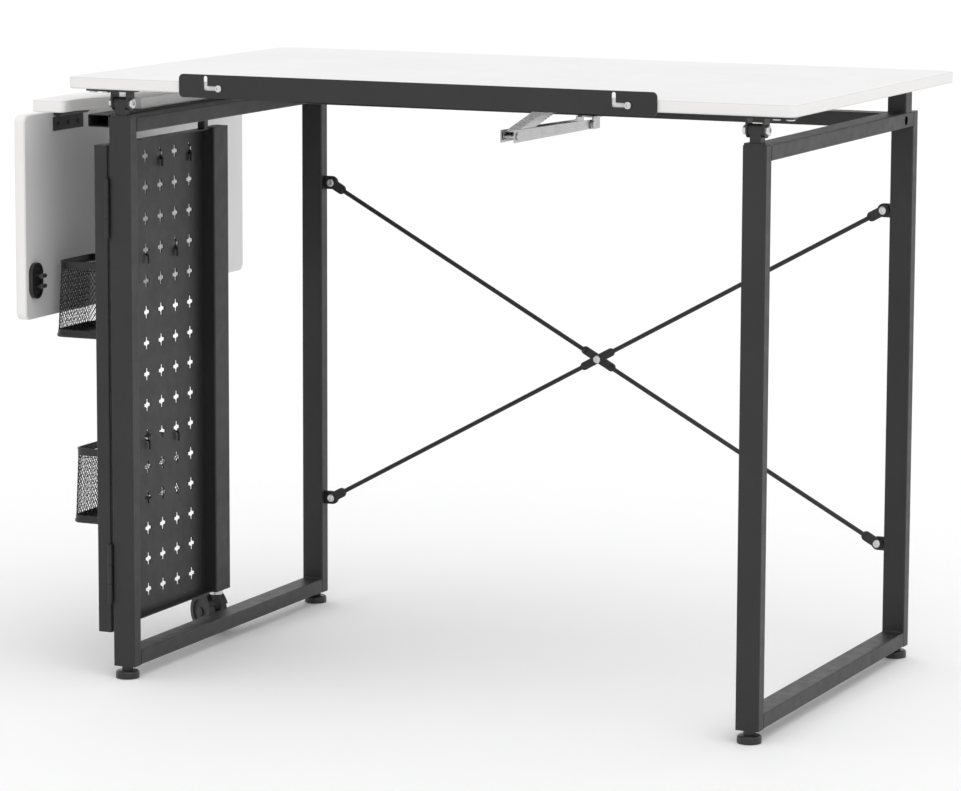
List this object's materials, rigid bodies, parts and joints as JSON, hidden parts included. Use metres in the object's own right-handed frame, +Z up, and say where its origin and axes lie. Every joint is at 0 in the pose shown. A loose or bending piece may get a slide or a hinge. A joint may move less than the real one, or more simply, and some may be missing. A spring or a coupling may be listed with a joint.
{
  "type": "sewing table",
  "caption": "Tilt-top sewing and craft table on a steel tube frame, with a fabric ledge, side shelf with drop leaf, and a swing-out perforated panel on a caster.",
  "frame": {"origin": "middle of the whole table's footprint, on the floor", "axes": "+X to the table's right as seen from the front, along its length; +Y to its back; +Z up"},
  "size_m": [1.047, 0.6014, 0.774],
  "materials": {
    "powder_coat": "dark grey powder coat with a fine texture",
    "zinc_plated": "zinc plated, satin",
    "bright_steel": "bright zinc on pressed steel",
    "white_board": "white melamine on particle board, satin",
    "black_plastic": "moulded, fine grain",
    "grey_rubber": "matt",
    "black_wire": "black coated wire mesh"
  },
  "bodies": {
    "frame": {"left_front_leg": "powder_coat", "left_rear_leg": "powder_coat", "left_top_rail": "powder_coat", "left_bottom_rail": "powder_coat", "right_front_leg": "powder_coat", "right_rear_leg": "powder_coat", "right_top_rail": "powder_coat", "right_bottom_rail": "powder_coat", "shelf_rail": "powder_coat", "rear_crossbar": "powder_coat", "rear_risers": "powder_coat", "riser_pads": "grey_rubber", "tie_rod_lugs": "powder_coat", "rising_tie_rod": "powder_coat", "falling_tie_rod": "powder_coat", "frame_bolts": "zinc_plated", "lock_nuts": "zinc_plated", "leg_plugs": "black_plastic", "pivot_bases": "powder_coat", "pivot_bolts": "zinc_plated", "side_shelf": "white_board", "shelf_screws": "zinc_plated", "fold_hinge_shelf_leaves": "powder_coat", "fold_hinge_shelf_screws": "powder_coat", "hinge_pins": "powder_coat", "swing_hinge_leg_leaves": "powder_coat", "stay_base_bracket": "bright_steel", "stay_base_pin": "bright_steel"},
    "tilting_top": {"tabletop": "white_board", "pivot_brackets": "powder_coat", "tabletop_screws": "zinc_plated", "ledge_screws": "zinc_plated", "stay_top_bracket": "bright_steel", "stay_top_pin": "bright_steel"},
    "ledge": {"fabric_ledge": "powder_coat"},
    "stay_lower": {"stay_lower_arm": "bright_steel", "stay_elbow_rivets": "bright_steel"},
    "stay_upper": {"stay_upper_arm": "bright_steel"},
    "leaf": {"drop_leaf": "white_board", "fold_hinge_drop_leaves": "powder_coat", "drop_leaf_screws": "powder_coat", "leaf_catch": "black_plastic"},
    "panel": {"peg_sheet": "powder_coat", "panel_hinge_stile": "powder_coat", "panel_far_stile": "powder_coat", "stile_plugs": "black_plastic", "swing_hinge_panel_leaves": "powder_coat", "latch_post": "powder_coat", "caster_stem": "zinc_plated", "upper_mesh_cup": "black_wire", "lower_mesh_cup": "black_wire", "peg_hooks": "black_wire"},
    "caster": {"caster_hood": "black_plastic", "caster_axle": "zinc_plated"},
    "inner_wheel": {"caster_inner_wheel": "grey_rubber"},
    "outer_wheel": {"caster_outer_wheel": "grey_rubber"},
    "left_front_leveller": {"left_front_foot": "black_plastic"},
    "right_front_leveller": {"right_front_foot": "black_plastic"},
    "left_rear_leveller": {"left_rear_foot": "black_plastic"},
    "right_rear_leveller": {"right_rear_foot": "black_plastic"}
  },
  "joints": [
    {"name": "top_tilt", "type": "hinge", "parent": "frame", "child": "tilting_top", "pos_m": [0.0495, -0.28325, 0.733], "axis": [1, 0, 0], "range_deg": [0, 30]},
    {"name": "stay_base_pivot", "type": "hinge", "parent": "frame", "child": "stay_lower", "pos_m": [0.0525, 0.19325, 0.6865], "axis": [1, 0, 0], "range_deg": [-24, 0.5]},
    {"name": "stay_top_pivot", "type": "hinge", "parent": "tilting_top", "child": "stay_upper", "pos_m": [0.0525, 0.18725, 0.7385], "axis": [1, 0, 0], "range_deg": [-0.5, 11]},
    {"name": "ledge_slide", "type": "slide", "parent": "tilting_top", "child": "ledge", "axis": [1, 0, 0], "range_m": [0, 0.0184]},
    {"name": "leaf_fold", "type": "hinge", "parent": "frame", "child": "leaf", "pos_m": [-0.502, -0.00075, 0.712], "axis": [0, 1, 0], "range_deg": [0, 90]},
    {"name": "panel_swing", "type": "hinge", "parent": "frame", "child": "panel", "pos_m": [-0.39075, -0.29595, 0.3655], "axis": [0, 0, 1], "range_deg": [0, 36.5]},
    {"name": "caster_swivel", "type": "hinge", "parent": "panel", "child": "caster", "pos_m": [-0.405, 0.01725, 0.0455], "axis": [0, 0, 1], "range_deg": [-15, 75]},
    {"name": "inner_wheel_roll", "type": "hinge", "parent": "caster", "child": "inner_wheel", "pos_m": [-0.42508, 0.01863, 0.025], "axis": [-0.5075, -0.8616, 0], "continuous": true},
    {"name": "outer_wheel_roll", "type": "hinge", "parent": "caster", "child": "outer_wheel", "pos_m": [-0.41594, 0.03414, 0.025], "axis": [-0.5075, -0.8616, 0], "continuous": true},
    {"name": "left_front_foot_turn", "type": "hinge", "parent": "frame", "child": "left_front_leveller", "pos_m": [-0.3735, -0.28325, 0.0155], "axis": [0, 0, 1], "continuous": true},
    {"name": "right_front_foot_turn", "type": "hinge", "parent": "frame", "child": "right_front_leveller", "pos_m": [0.4725, -0.28325, 0.0155], "axis": [0, 0, 1], "continuous": true},
    {"name": "left_rear_foot_turn", "type": "hinge", "parent": "frame", "child": "left_rear_leveller", "pos_m": [-0.3735, 0.25375, 0.0155], "axis": [0, 0, 1], "continuous": true},
    {"name": "right_rear_foot_turn", "type": "hinge", "parent": "frame", "child": "right_rear_leveller", "pos_m": [0.4725, 0.25375, 0.0155], "axis": [0, 0, 1], "continuous": true}
  ],
  "couplings": [
    {"joint": "stay_base_pivot", "follows": "top_tilt", "ratio": -0.7686},
    {"joint": "stay_top_pivot", "follows": "top_tilt", "ratio": 0.3412},
    {"joint": "panel_swing", "follows": "leaf_fold", "ratio": 0.4}
  ]
}
